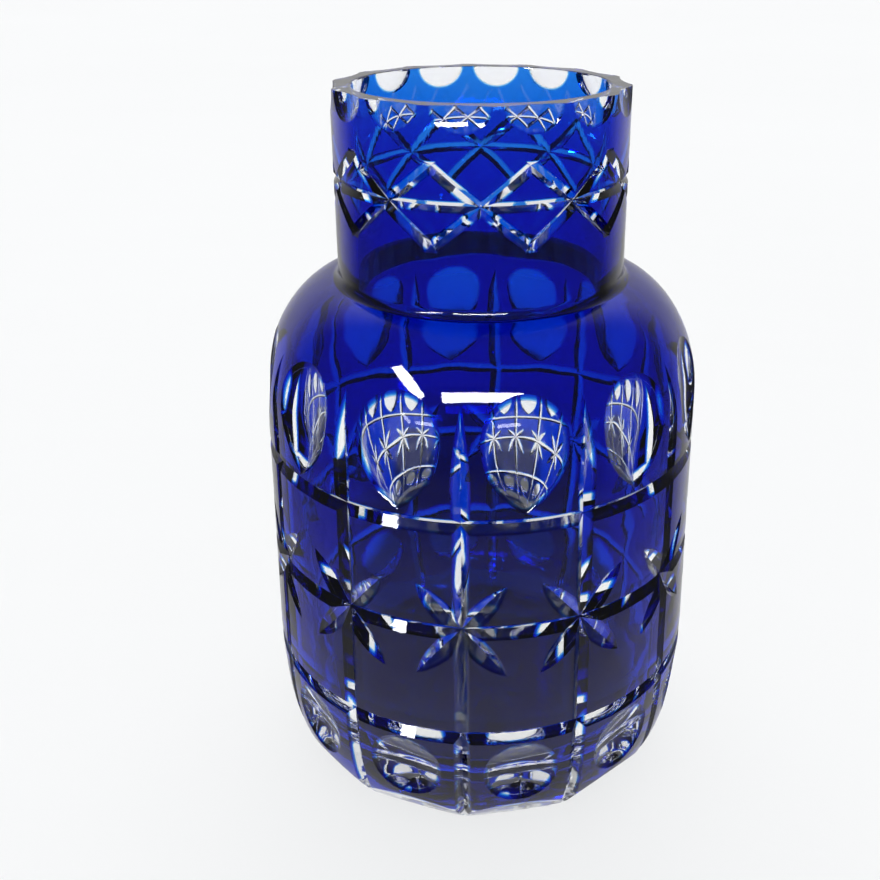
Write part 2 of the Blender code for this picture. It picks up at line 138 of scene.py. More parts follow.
STAR_DEPTH = 0.0027
STAR_SLOPE = 1.65
STAR_POWER = 2.6            # above 2 keeps an arm wide until near its tips
STAR_WAIST = 0.25           # how much shallower an arm is at its middle, before the tips' taper
STAR_HALF_WIDTH = 0.0150    # round the body
STAR_HALF_HEIGHT = 0.0172
STAR_REACH = 1.12           # length of an arm's cutter over the length of the arm

WINDOW_BOTTOM = 0.1298
WINDOW_FIRST = WINDOW_BOTTOM + 0.0007   # the first section above the pointed end
WINDOW_WIDEST = 0.1545
WINDOW_TOP = 0.1680
WINDOW_HALF_WIDTH = 0.0139
WINDOW_DEPTH = 0.0042
WINDOW_POINT = 2.6          # 2 is round at the bottom, 1 is a straight-sided point

THUMB_BOTTOM = 0.0150
THUMB_TOP = 0.0420
THUMB_HALF_WIDTH = 0.0132
THUMB_DEPTH = 0.0036

HEEL_FACET_TOP = (0.0759, 0.0135)       # radius and height at the middle of a heel facet
HEEL_FACET_BOTTOM = (0.0665, 0.0005)
HEEL_FACET_REACH = (-0.0020, HEEL_FACET_TOP[1] + 0.0030)    # heights of the cutter's ends

BAND_REPEATS = 10
BAND_STEP = 360.0 / BAND_REPEATS
BAND_MIDDLE = gap_middle("neck_triangle_upper_01", "neck_triangle_lower_01")
BAND_TOP = BAND_MIDDLE + 0.0120         # where the zigzag cuts meet above the middle line
BAND_BOTTOM = BAND_MIDDLE - 0.0130
BAND_OVERRUN = 0.11         # how far a zigzag cut runs past its apexes, share of its length
BAND_DEPTH = 0.0020
BAND_SLOPE = 1.05
BAND_LINE_DEPTH = 0.0018
BAND_LINE_HALF_WIDTH = 0.0019

SCALLOPS = 14
SCALLOP_PHASE = 173.0       # azimuth of one scallop's middle, degrees
SCALLOP_HALF_WIDTH = 0.0097
SCALLOP_HEIGHT = 0.0085
SCALLOP_DEPTH = 0.0022


# ---------------------------------------------------------------- outer surface of the vase
def superellipse(share, power):
    """The other coordinate of a unit superellipse quadrant, with both coordinates from 0 to 1."""
    return max(0.0, 1.0 - share**power) ** (1.0 / power)


def rounded(share, height, inner, outer, power, up):
    """Radius and outward normal on a rounded quarter, share of the way from its widest part."""
    across = superellipse(share, power)
    radial = across ** (power - 1.0) / (outer - inner)
    axial = share ** (power - 1.0) / height
    return inner + (outer - inner) * across, Vector((radial, up * axial)).normalized()


def surface(z):
    """Radius of the uncut outer surface at height z, and its outward normal as (radial, up)."""
    if z > FILLET_TOP:
        return NECK_RADIUS, Vector((1.0, 0.0))
    if z > FILLET_END:
        rise = (FILLET_TOP - z) / NECK_FILLET
        across = math.sqrt(1.0 - rise**2)
        return NECK_RADIUS + NECK_FILLET * (1.0 - across), Vector((across, rise))
    if z > SHOULDER_FOOT:
        height = NECK_FOOT - SHOULDER_FOOT
        share = (z - SHOULDER_FOOT) / height
        return rounded(share, height, NECK_RADIUS, SHOULDER_RADIUS, SHOULDER_POWER, 1.0)
    if z > HEEL_TOP:
        share = (z - HEEL_TOP) / (SHOULDER_FOOT - HEEL_TOP)
        return BODY_RADIUS + (SHOULDER_RADIUS - BODY_RADIUS) * share, Vector((1.0, 0.0))
    share = min(1.0, (HEEL_TOP - z) / HEEL_TOP)
    return rounded(share, HEEL_TOP, FOOT_RADIUS, BODY_RADIUS, HEEL_POWER, -1.0)


def frame_at(azimuth, z):
    """Surface point, outward normal and rightward side direction at an azimuth and a height."""
    angle = math.radians(azimuth)
    outward = Vector((math.sin(angle), -math.cos(angle), 0.0))
    side = Vector((math.cos(angle), math.sin(angle), 0.0))
    radius, normal = surface(z)
    point = outward * radius + Vector((0.0, 0.0, z))
    return point, outward * normal.x + Vector((0.0, 0.0, normal.y)), side


def spread(low, high, count):
    """Evenly spaced values from low to high."""
    return [low + (high - low) * n / (count - 1) for n in range(count)]


def rounded_heights(low, high, steps, widest_is_low):
    """Heights on a rounded quarter, closer together towards its flat end."""
    heights = []
    for step in range(1, steps):
        share = math.sin(0.5 * math.pi * step / steps)
        heights.append(low + (high - low) * share if widest_is_low else high - (high - low) * share)
    return heights


def casing_thickness(z):
    """The cobalt was blown thinnest at the rim and lies thickest on the shoulder."""
    for (low, thin), (high, thick) in zip(CASING_THICKNESS, CASING_THICKNESS[1:]):
        if z <= high * HEIGHT:
            return thin + (thick - thin) * (z / HEIGHT - low) / (high - low)
    return CASING_THICKNESS[-1][1]


def offset_point(z, share):
    """The surface point at height z, moved inwards by a share of the casing's thickness."""
    radius, normal = surface(z)
    depth = share * casing_thickness(z)
    return radius - depth * normal.x, z - depth * normal.y


def offset_outline(share, bottom):
    """Points (radius, z) from the rim down to bottom, a share of the casing's thickness inside."""
    neck = spread(FILLET_TOP, HEIGHT, 4)
    turns = spread(*FILLET_TURN, FILLET_POINTS)
    fillet = [FILLET_TOP - NECK_FILLET * math.sin(turn) for turn in turns]
    shoulder = rounded_heights(SHOULDER_FOOT, NECK_FOOT, ROUND_STEPS, True)
    shoulder = [z for z in shoulder if z < FILLET_END]
    body = spread(HEEL_TOP, SHOULDER_FOOT, 5)
    heel = rounded_heights(0.0, HEEL_TOP, ROUND_STEPS, False)
    points = []
    for z in sorted([*neck, *fillet, *shoulder, *body, *heel], reverse=True):
        if z > bottom + OUTLINE_CLEARANCE:
            points.append(offset_point(z, share))
    points.append(offset_point(bottom, share))
    return points


# ---------------------------------------------------------------- mesh helpers
def new_object(name, mesh_data):
    """Make a mesh object out of a bmesh."""
    mesh = bpy.data.meshes.new(name)
    mesh_data.to_mesh(mesh)
    mesh_data.free()
    obj = bpy.data.objects.new(name, mesh)
    bpy.context.scene.collection.objects.link(obj)
    return obj


def lathe(name, outline, segments=SEGMENTS, phase=FACET_PHASE):
    """Turn a closed outline of (radius, z) points round the Z axis into a solid."""
    mesh_data = bmesh.new()
    start = math.radians(phase)
    verts = [
        mesh_data.verts.new((math.sin(start) * radius, -math.cos(start) * radius, z))
        for radius, z in outline
    ]
    edges = [mesh_data.edges.new((a, b)) for a, b in zip(verts, verts[1:] + verts[:1])]
    bmesh.ops.spin(
        mesh_data,
        geom=verts + edges,
        cent=(0.0, 0.0, 0.0),
        axis=(0.0, 0.0, 1.0),
        angle=2.0 * math.pi,
        steps=segments,
        use_merge=True,
    )
    bmesh.ops.remove_doubles(mesh_data, verts=mesh_data.verts, dist=1e-6)
    axis_edges = [edge for edge in mesh_data.edges if not edge.link_faces]
    bmesh.ops.delete(mesh_data, geom=axis_edges, context="EDGES")
    bmesh.ops.recalc_face_normals(mesh_data, faces=mesh_data.faces)
    return new_object(name, mesh_data)


def mitre_section(depth, slope):
    """V section of a mitre cut, as (across, out) points from side to side."""
    half = (depth + PROUD) * slope
    return [(-half, PROUD), (0.0, -depth), (half, PROUD)]


def hollow_section(depth, curve):
    """Parabolic section of a ground hollow, curve being its out-of-plane rise per across squared."""
    half = math.sqrt((depth + PROUD) / curve)
    acrosses = [half * share for share in spread(-1.0, 1.0, HOLLOW_POINTS)]
    return [(across, curve * across**2 - depth) for across in acrosses]


def skin_rows(mesh_data, low, high):
    """Join two neighbouring sections, either of which may be a single point."""
    for n in range(max(len(low), len(high))):
        corners = [
            low[n % len(low)],
            low[(n + 1) % len(low)],
            high[(n + 1) % len(high)],
            high[n % len(high)],
        ]
        mesh_data.faces.new(list(dict.fromkeys(corners)))


def add_cut(mesh_data, stations, closed=False):
    """Skin sections set along a path into one closed solid.

    A station is (point, normal, side, section); a section of None is a run-out to a single point.
    """
    rows = []
    for point, normal, side, section in stations:
        if section is None:
            rows.append([mesh_data.verts.new(point + normal * PROUD)])
        else:
            rows.append([
                mesh_data.verts.new(point + side * across + normal * out)
                for across, out in section
            ])
    pairs = list(zip(rows, rows[1:]))
    if closed:
        pairs.append((rows[-1], rows[0]))
    for low, high in pairs:
        skin_rows(mesh_data, low, high)
    if not closed:
        for end in (rows[0], rows[-1]):
            if len(end) > 1:
                mesh_data.faces.new(end)


def cutter(name, mesh_data):
    """Make a family of cuts into one object."""
    bmesh.ops.recalc_face_normals(mesh_data, faces=mesh_data.faces)
    return new_object(name, mesh_data)


def bay_azimuths(offset):
    """Azimuths of the body pattern's repeats, offset degrees from each vertical cut."""
    return [BAY_PHASE + BAY * n + offset for n in range(BAYS)]


# ---------------------------------------------------------------- families of cuts
def ring_cut(mesh_data, z, depth, half_width):
    """One V groove right round the vase."""
    stations = []
    for n in range(SEGMENTS):
        point, normal, _ = frame_at(FACET_PHASE + 360.0 * n / SEGMENTS, z)
        up = Vector((0.0, 0.0, 1.0))
        stations.append((point, normal, up, mitre_section(depth, half_width / depth)))
    add_cut(mesh_data, stations, closed=True)


def ring_cuts():
    """The three ring cuts of the body and the middle line of the neck's band."""
    mesh_data = bmesh.new()
    for z in RING_HEIGHTS:
        ring_cut(mesh_data, z, RING_DEPTH, RING_HALF_WIDTH)
    ring_cut(mesh_data, BAND_MIDDLE, BAND_LINE_DEPTH, BAND_LINE_HALF_WIDTH)
    return cutter("cut_rings", mesh_data)


def vertical_depth(z):
    """Depth of a vertical cut: deepest between the windows, running out at its tip and its foot."""
    deepest = 0.5 * (RING_HEIGHTS[0] + SHOULDER_FOOT)
    if z < VERTICAL_FOOT:
        return VERTICAL_DEPTH * z / VERTICAL_FOOT
    if z < RING_HEIGHTS[0]:
        return VERTICAL_DEPTH
    if z < deepest:
        share = (z - RING_HEIGHTS[0]) / (deepest - RING_HEIGHTS[0])
        return VERTICAL_DEPTH + (VERTICAL_DEEPEST - VERTICAL_DEPTH) * share
    return VERTICAL_DEEPEST * (1.0 - ((z - deepest) / (VERTICAL_TIP - deepest)) ** 2)


def vertical_cuts():
    """A tall cut from the foot to the shoulder in every bay, through all three ring cuts."""
    mesh_data = bmesh.new()
    heights = [0.25 * VERTICAL_FOOT, 0.625 * VERTICAL_FOOT, VERTICAL_FOOT]
    heights += spread(VERTICAL_FOOT + 0.0040, HEEL_TOP, 12)[:-1]
    heights += spread(HEEL_TOP, RING_HEIGHTS[0], 4)
    heights += spread(VERTICAL_UPPER, VERTICAL_LAST, 14)
    for azimuth in bay_azimuths(0.0):
        stations = [(*frame_at(azimuth, 0.0), None)]
        for z in heights:
            point, normal, side = frame_at(azimuth, z)
            stations.append((point, normal, side, mitre_section(vertical_depth(z), VERTICAL_SLOPE)))
        stations.append((*frame_at(azimuth, VERTICAL_END), None))
        add_cut(mesh_data, stations)
    return cutter("cut_verticals", mesh_data)


def straight_cut(mesh_data, start, end, depth_at, slope, shares):
    """A V cut that is straight on the unrolled surface, from start to end (azimuth, z)."""
    radius = surface(0.5 * (start[1] + end[1]))[0]
    run = math.radians(end[0] - start[0]) * radius
    rise = end[1] - start[1]
    lean = math.atan2(rise, run)
    stations = []
    for share in shares:
        azimuth = start[0] + (end[0] - start[0]) * share
        point, normal, side = frame_at(azimuth, start[1] + rise * share)
        across = Vector((0.0, 0.0, math.cos(lean))) - side * math.sin(lean)
        section = mitre_section(depth_at(share), slope) if 0.0 < share < 1.0 else None
        stations.append((point, normal, across, section))
    add_cut(mesh_data, stations)


def star_depth(share):
    """Depth along a star's arm: a little shallow at its middle, then deeper, and none at its tips."""
    along = abs(STAR_REACH * (2.0 * share - 1.0))
    waist = 1.0 + STAR_WAIST * (2.0 * along - 1.0)
    return STAR_DEPTH * (1.0 - along**STAR_POWER) * waist


def star_cuts(direction):
    """One diagonal arm of every star, leaning right (1) or left (-1)."""
    mesh_data = bmesh.new()
    turn = math.degrees(STAR_HALF_WIDTH / BODY_RADIUS) * STAR_REACH * direction
    rise = STAR_HALF_HEIGHT * STAR_REACH
    middle = RING_HEIGHTS[1]
    for azimuth in bay_azimuths(0.0):
        low = (azimuth - turn, middle - rise)
        high = (azimuth + turn, middle + rise)
        straight_cut(mesh_data, low, high, star_depth, STAR_SLOPE, spread(0.0, 1.0, 25))
    return cutter("cut_stars_right" if direction > 0 else "cut_stars_left", mesh_data)


def band_cuts(direction):
    """The zigzag's straight cuts leaning one way, from each lower apex to the next upper one."""
    mesh_data = bmesh.new()
    half_turn = BAND_STEP * (0.5 + BAND_OVERRUN) * direction
    rise = BAND_TOP - BAND_BOTTOM
    apex = BAND_OVERRUN / (1.0 + 2.0 * BAND_OVERRUN)
    shares = [0.0, *spread(apex, 1.0 - apex, 21), 1.0]
    for n in range(BAND_REPEATS):
        azimuth = BAND_STEP * n
        low = (azimuth - half_turn, BAND_BOTTOM - rise * BAND_OVERRUN)
        high = (azimuth + half_turn, BAND_TOP + rise * BAND_OVERRUN)
        straight_cut(mesh_data, low, high, lambda share: BAND_DEPTH, BAND_SLOPE, shares)
    return cutter("cut_band_right" if direction > 0 else "cut_band_left", mesh_data)


def hollow_cut(mesh_data, azimuth, heights, shape):
    """A ground hollow that follows the profile; shape(z) gives its depth and section curve.

    The first and the last of the heights are where its ends rise clear of the glass.
    """
    stations = []
    for z in heights:
        point, normal, side = frame_at(azimuth, z)
        inside = heights[0] < z < heights[-1]
        section = hollow_section(*shape(z)) if inside else None
        stations.append((point, normal, side, section))
    add_cut(mesh_data, stations)


def oval_shape(share, depth, half_width, radius):
    """Depth and section curve of an oval hollow, share of the way from its middle to its end."""
    return depth * (1.0 - share**2), depth / half_width**2 - 0.5 / radius


def clear_of(depth):
    """How far past its outline an oval hollow rises clear, as a share of its half height."""
    return math.sqrt(1.0 + PROUD / depth)


def window_shape(z):
    """Egg outline with its point down: round above the widest line, pointed below it."""
    if z > WINDOW_WIDEST:
        share = (z - WINDOW_WIDEST) / (WINDOW_TOP - WINDOW_WIDEST)
        return oval_shape(share, WINDOW_DEPTH, WINDOW_HALF_WIDTH, SHOULDER_RADIUS)
    share = (WINDOW_WIDEST - z) / (WINDOW_WIDEST - WINDOW_BOTTOM)
    width = 1.0 - share**WINDOW_POINT
    curve = WINDOW_DEPTH / (width * WINDOW_HALF_WIDTH**2) - 0.5 / SHOULDER_RADIUS
    return WINDOW_DEPTH * width, curve


def window_cuts():
    """The oval windows on the shoulder, one in the middle of every bay."""
    mesh_data = bmesh.new()
    reach = (WINDOW_TOP - WINDOW_WIDEST) * clear_of(WINDOW_DEPTH)
    heights = [WINDOW_BOTTOM - PROUD]
    heights += spread(WINDOW_FIRST, WINDOW_WIDEST, 20)
    turns = [*spread(0.1, 1.48, 14), 0.5 * math.pi]
    heights += [WINDOW_WIDEST + reach * math.sin(turn) for turn in turns]
    for azimuth in bay_azimuths(0.5 * BAY):
        hollow_cut(mesh_data, azimuth, heights, window_shape)
    return cutter("cut_windows", mesh_data)


def thumb_shape(z):
    """Oval outline, the same above its middle as below it."""
    middle = 0.5 * (THUMB_BOTTOM + THUMB_TOP)
    share = (z - middle) / (THUMB_TOP - middle)
    return oval_shape(share, THUMB_DEPTH, THUMB_HALF_WIDTH, BODY_RADIUS)


def thumb_cuts():
    """The thumbprints round the heel, one in the middle of every bay."""
    mesh_data = bmesh.new()
    middle = 0.5 * (THUMB_BOTTOM + THUMB_TOP)
    reach = (THUMB_TOP - middle) * clear_of(THUMB_DEPTH)
    turns = spread(-0.5 * math.pi, 0.5 * math.pi, 27)
    heights = [middle + reach * math.sin(turn) for turn in turns]
    for azimuth in bay_azimuths(0.5 * BAY):
        hollow_cut(mesh_data, azimuth, heights, thumb_shape)
    return cutter("cut_thumbprints", mesh_data)


def heel_facet_cuts():
    """A frustum's outside, one flat facet to a bay, with its corners at the vertical cuts."""
    (top_radius, top), (bottom_radius, bottom) = HEEL_FACET_TOP, HEEL_FACET_BOTTOM
    slope = (top_radius - bottom_radius) / (top - bottom)
    to_corner = 1.0 / math.cos(math.radians(0.5 * BAY))
    low, high = HEEL_FACET_REACH
    well_outside = 1.2 * BODY_RADIUS
    outline = [
        ((top_radius + slope * (high - top)) * to_corner, high),
        (well_outside, high),
        (well_outside, low),
        ((bottom_radius - slope * (bottom - low)) * to_corner, low),
    ]
    return lathe("cut_heel_facets", outline, BAYS, BAY_PHASE)


def scallop_shape(z):
    """Half an oval, widest and deepest at the rim."""
    share = min(0.0, z - HEIGHT) / SCALLOP_HEIGHT
    return oval_shape(share, SCALLOP_DEPTH, SCALLOP_HALF_WIDTH, NECK_RADIUS)


def scallop_cuts():
    """The half ovals ground into the outside of the rim."""
    mesh_data = bmesh.new()
    reach = SCALLOP_HEIGHT * clear_of(SCALLOP_DEPTH)
    heights = [HEIGHT - reach * math.cos(turn) for turn in spread(0.0, 0.5 * math.pi, 14)]
    heights += [HEIGHT + PROUD, HEIGHT + 2.0 * PROUD]
    for n in range(SCALLOPS):
        azimuth = SCALLOP_PHASE + 360.0 * n / SCALLOPS
        hollow_cut(mesh_data, azimuth, heights, scallop_shape)
    return cutter("cut_rim_scallops", mesh_data)


def carve(obj, tools):
    """Take every family of cuts out of an object at once and keep the result as its mesh."""
    modifier = obj.modifiers.new("cuts", "BOOLEAN")
    modifier.operation = "DIFFERENCE"
    modifier.operand_type = "COLLECTION"
    modifier.collection = tools
    modifier.solver = "MANIFOLD"
    graph = bpy.context.evaluated_depsgraph_get()
    carved = bpy.data.meshes.new_from_object(obj.evaluated_get(graph))
    obj.modifiers.clear()
    obj.data = carved


# ---------------------------------------------------------------- the two glasses
def cavity_outline():
    """Points (radius, z) of the inside of the vessel, from the rim down to the floor's middle."""
    inner_neck = NECK_RADIUS - WALL
    inner_body = BODY_RADIUS - WALL - BODY_WALL_EXTRA
    low, high = CAVITY_SHOULDER_FOOT, CAVITY_SHOULDER_TOP
    floor_top = FLOOR + FLOOR_ROUND
    points = [(inner_neck + LIP, HEIGHT), (inner_neck + 0.3 * LIP, HEIGHT - 0.3 * LIP)]
    points += [(inner_neck, HEIGHT - LIP), (inner_neck, high)]
    for z in sorted(rounded_heights(low, high, 20, True), reverse=True):
        across = superellipse((z - low) / (high - low), 2.0)
        points.append((inner_neck + (inner_body - inner_neck) * across, z))
    points += [(inner_body, low), (inner_body, floor_top)]
    for z in rounded_heights(FLOOR, floor_top, 16, False):
        across = superellipse((floor_top - z) / FLOOR_ROUND, 2.0)
        points.append((inner_body - FLOOR_ROUND * (1.0 - across), z))
    points += [(inner_body - FLOOR_ROUND, FLOOR), (0.0, FLOOR)]
    return points


def mark_fused(obj, facing):
    """Mark the lathed faces where the two glasses are fused, with a slot number that cutting keeps.

    They are the faces above the clear foot that face along the surface normal (1) or against it (-1).
    """
    for face in obj.data.polygons:
        middle = face.center
        if middle.z < CASING_FOOT:
            continue
        normal = surface(middle.z)[1]
        outward = Vector((middle.x, middle.y, 0.0)).normalized()
        along = face.normal.dot(outward * normal.x + Vector((0.0, 0.0, normal.y)))
        if along * facing > LATHED_FACING:
            face.material_index = 1


def make_crystal():
    """The clear vessel, up to the casing's back and full size at the foot."""
    outline = offset_outline(1.0 - FUSED, CASING_FOOT)
    outline.append(offset_point(CASING_FOOT, 0.0))
    outline += [
        offset_point(z, 0.0)
        for z in rounded_heights(0.0, HEEL_TOP, ROUND_STEPS, False)
        if z < CASING_FOOT - FOOT_CLEARANCE
    ]
    outline += [(FOOT_RADIUS, 0.0), (0.0, 0.0)]
    return lathe("crystal_vessel", outline + cavity_outline()[::-1])


def make_casing():
    """The whole cobalt layer before it is cut."""
    outer = offset_outline(0.0, CASING_FOOT)
    inner = offset_outline(1.0, CASING_FOOT)
    return lathe("casing", outer + inner[::-1])


def loose_parts(obj):
    """Split an object into one new object for each connected part."""
    source = bmesh.new()
    source.from_mesh(obj.data)
    owner = {}
    groups = []
    for seed in source.verts:
        if seed in owner:
            continue
        group = [seed]
        owner[seed] = len(groups)
        for vert in group:
            for edge in vert.link_edges:
                other = edge.other_vert(vert)
                if other not in owner:
                    owner[other] = len(groups)
                    group.append(other)
        groups.append(group)
    parts = [bmesh.new() for _ in groups]
    copies = {vert: parts[owner[vert]].verts.new(vert.co) for vert in source.verts}
    for face in source.faces:
        corners = [copies[vert] for vert in face.verts]
        part = parts[owner[face.verts[0]]]
        if part.faces.get(corners) is None:
            part.faces.new(corners).material_index = face.material_index
    source.free()
    for number, part in enumerate(parts):
        if len(part.verts) >= CRUMB:
            yield new_object(f"island_{number}", part)
        else:
            part.free()


def island_node(obj):
    """The CAD node that a casing island stands for, from its height and its place round the vase."""
    corners = [Vector(corner) for corner in obj.bound_box]
    middle = sum(corners, Vector()) / len(corners)
    goes_right_round = math.hypot(middle.x, middle.y) < 0.5 * NECK_RADIUS
    if goes_right_round:
        return "neck_collar" if middle.z > BAND_MIDDLE else "shoulder_casing"
    azimuth = math.degrees(math.atan2(middle.x, -middle.y))
    if middle.z > NECK_FOOT:
        kind = "neck_triangle_upper" if middle.z > BAND_MIDDLE else "neck_triangle_lower"
        number = round((azimuth - 0.5 * BAND_STEP) / BAND_STEP) % BAND_REPEATS
        return f"{kind}_{number + 1:02d}"
    if middle.z > RING_HEIGHTS[1]:
        kind = "body_panel_upper"
    elif middle.z > RING_HEIGHTS[2]:
        kind = "body_panel_lower"
    else:
        kind = "heel_panel"
    number = round((azimuth - BAY_PHASE - 0.5 * BAY) / BAY) % BAYS
    return f"{kind}_{number + 1:02d}"


# ---------------------------------------------------------------- materials
LEAD_CRYSTAL_IOR = 1.545
CLEAR_COLOUR = (0.985, 0.99, 0.985)
COBALT_COLOUR = (0.0, 0.60, 0.93)       # what its absorption leaves of red, green and blue
COBALT_DENSITY = 9200.0     # per metre
WAVE_HEIGHT = 0.00022       # slow waves in the blown surface
MARK_HEIGHT = 0.0000025     # fine marks of the polishing wheel
WIPED_ROUGHNESS = 0.035     # where wipe marks are strongest


def add_node(material, kind, **values):
    """A new shader node, with its sockets set by name."""
    node = material.node_tree.nodes.new(kind)
    for name, value in values.items():
        node.inputs[name.replace("_", " ")].default_value = value
    return node


def glass(name, colour):
    """Polished glass: slow waves left by blowing, fine wheel marks, and faint wipe marks.

    It bends light only where it meets air: on the fused faces light passes straight on.
    """
    material = bpy.data.materials.new(name)
    material.use_nodes = True
    links = material.node_tree.links
    shader = material.node_tree.nodes["Principled BSDF"]
    shader.inputs["Base Color"].default_value = (*colour, 1.0)
    shader.inputs["Metallic"].default_value = 0.0
    shader.inputs["IOR"].default_value = LEAD_CRYSTAL_IOR
    shader.inputs["Transmission Weight"].default_value = 1.0

    fused = add_node(material, "ShaderNodeAttribute")
    fused.attribute_name = "fused"
    bending = add_node(material, "ShaderNodeMapRange")
    bending.inputs["To Min"].default_value = LEAD_CRYSTAL_IOR
    bending.inputs["To Max"].default_value = 1.0
    links.new(fused.outputs["Fac"], bending.inputs["Value"])
    links.new(bending.outputs["Result"], shader.inputs["IOR"])

    place = add_node(material, "ShaderNodeTexCoord")
    waves = add_node(material, "ShaderNodeTexNoise", Scale=55.0, Detail=1.0)
    marks = add_node(material, "ShaderNodeTexNoise", Scale=900.0, Detail=2.0)
    wipes = add_node(material, "ShaderNodeTexNoise", Scale=28.0, Detail=5.0)
    polish = add_node(material, "ShaderNodeMapRange", From_Min=0.35, From_Max=0.75)
    polish.inputs["To Min"].default_value = 0.0
    polish.inputs["To Max"].default_value = WIPED_ROUGHNESS
    for texture in (waves, marks, wipes):
        links.new(place.outputs["Object"], texture.inputs["Vector"])
    links.new(wipes.outputs["Fac"], polish.inputs["Value"])
    links.new(polish.outputs["Result"], shader.inputs["Roughness"])

    slow = add_node(material, "ShaderNodeBump", Strength=1.0, Distance=WAVE_HEIGHT)
    fine = add_node(material, "ShaderNodeBump", Strength=1.0, Distance=MARK_HEIGHT)
    links.new(waves.outputs["Fac"], slow.inputs["Height"])
    links.new(marks.outputs["Fac"], fine.inputs["Height"])
    links.new(slow.outputs["Normal"], fine.inputs["Normal"])
    links.new(fine.outputs["Normal"], shader.inputs["Normal"])
    return material


def clear_crystal():
    """The vessel's own glass, all but colourless."""
    return glass("clear_crystal", CLEAR_COLOUR)


def cobalt_glass():
    """Cobalt casing: colour by absorption, deep blue through two walls and azure through one."""
    material = glass("cobalt_casing", (1.0, 1.0, 1.0))
    absorption = add_node(material, "ShaderNodeVolumeAbsorption", Density=COBALT_DENSITY)
    absorption.inputs["Color"].default_value = (*COBALT_COLOUR, 1.0)
    output = material.node_tree.nodes["Material Output"]
    material.node_tree.links.new(absorption.outputs["Volume"], output.inputs["Volume"])
    return material


def paper():
    """Matt white paper, very slightly mottled."""
    material = bpy.data.materials.new("pale_floor")
    material.use_nodes = True
    shader = material.node_tree.nodes["Principled BSDF"]
    grain = add_node(material, "ShaderNodeTexNoise", Scale=40.0, Detail=3.0)
    tone = add_node(material, "ShaderNodeMapRange")
    tone.inputs["To Min"].default_value = 0.88
    tone.inputs["To Max"].default_value = 0.90
    material.node_tree.links.new(grain.outputs["Fac"], tone.inputs["Value"])
    material.node_tree.links.new(tone.outputs["Result"], shader.inputs["Base Color"])
    shader.inputs["Roughness"].default_value = 1.0
    shader.inputs["Specular IOR Level"].default_value = 0.0
    return material


def finish(obj, material, slot, *nodes):
    """Give a piece its glass, round shading between its cut edges, and its place in the frame."""
    fused = obj.data.attributes.new("fused", "FLOAT", "FACE")
    for face in obj.data.polygons:
        fused.data[face.index].value = face.material_index
        face.material_index = 0
    obj.data.materials.clear()
    obj.data.materials.append(material)
    obj.data.shade_smooth()
    obj.data.set_sharp_from_angle(angle=math.radians(CUT_EDGE))
    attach(obj, "root")
    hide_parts(*nodes)


# ---------------------------------------------------------------- stage, light and camera
ROOM_LIGHT = 0.11
WALL_LIGHT = 0.60
TABLE_LIGHT = 0.65
TABLE_EDGE = -0.40          # the mirrored table, from its edge to its near part: Z of a direction
TABLE_NEAR = -0.70
WALL_EDGE = 0.30            # the mirrored wall, from its edge to its middle: Y of a direction
WALL_MIDDLE = 0.80
FLOOR_HALF_SIDE = 60.0      # this and the next are in vase heights
STUDIO_RADIUS = 55.0
STUDIO_WHITE = (0.947, 0.955, 0.973)
KEY_PLACE = (0.0, -8.0, 6.7)            # in vase heights; it is a sun, so only the direction counts
KEY_STRENGTH = 4.4
KEY_COLOUR = (0.98, 0.99, 1.0)
KEY_SPREAD = 12.0           # degrees
SOFTBOX_RADIANCE = 26.0
CAMERA_PLACE = (0.0, -1.4564, 1.2012)   # in vase heights
CAMERA_TILT = 21.63         # degrees down
CAMERA_LENS = 43.84         # millimetres, on a sensor 36 mm wide
CAMERA_SHIFT = (-0.0464, -0.108)


def make_floor():
    """Level white floor, seen directly and through the glass. The glass does not mirror it."""
    mesh_data = bmesh.new()
    size = FLOOR_HALF_SIDE * HEIGHT
    bmesh.ops.create_grid(mesh_data, x_segments=1, y_segments=1, size=size)
    floor = new_object("floor", mesh_data)
    floor.location.z = CAD_BOX[0][2]
    floor.visible_glossy = False
    floor.data.materials.append(paper())


def make_backdrop():
    """Evenly lit white studio round the floor. The glass does not mirror it."""
    mesh_data = bmesh.new()
    bmesh.ops.create_icosphere(mesh_data, subdivisions=4, radius=STUDIO_RADIUS * HEIGHT)
    backdrop = new_object("backdrop", mesh_data)
    material = bpy.data.materials.new("white_studio")
    material.use_nodes = True
    shader = material.node_tree.nodes["Principled BSDF"]
    shader.inputs["Base Color"].default_value = (0.0, 0.0, 0.0, 1.0)
    shader.inputs["Specular IOR Level"].default_value = 0.0
    shader.inputs["Emission Color"].default_value = (*STUDIO_WHITE, 1.0)
    shader.inputs["Emission Strength"].default_value = 1.0
    material.cycles.emission_sampling = "NONE"
    backdrop.data.materials.append(material)
    backdrop.visible_diffuse = False
    backdrop.visible_glossy = False
    backdrop.visible_shadow = False


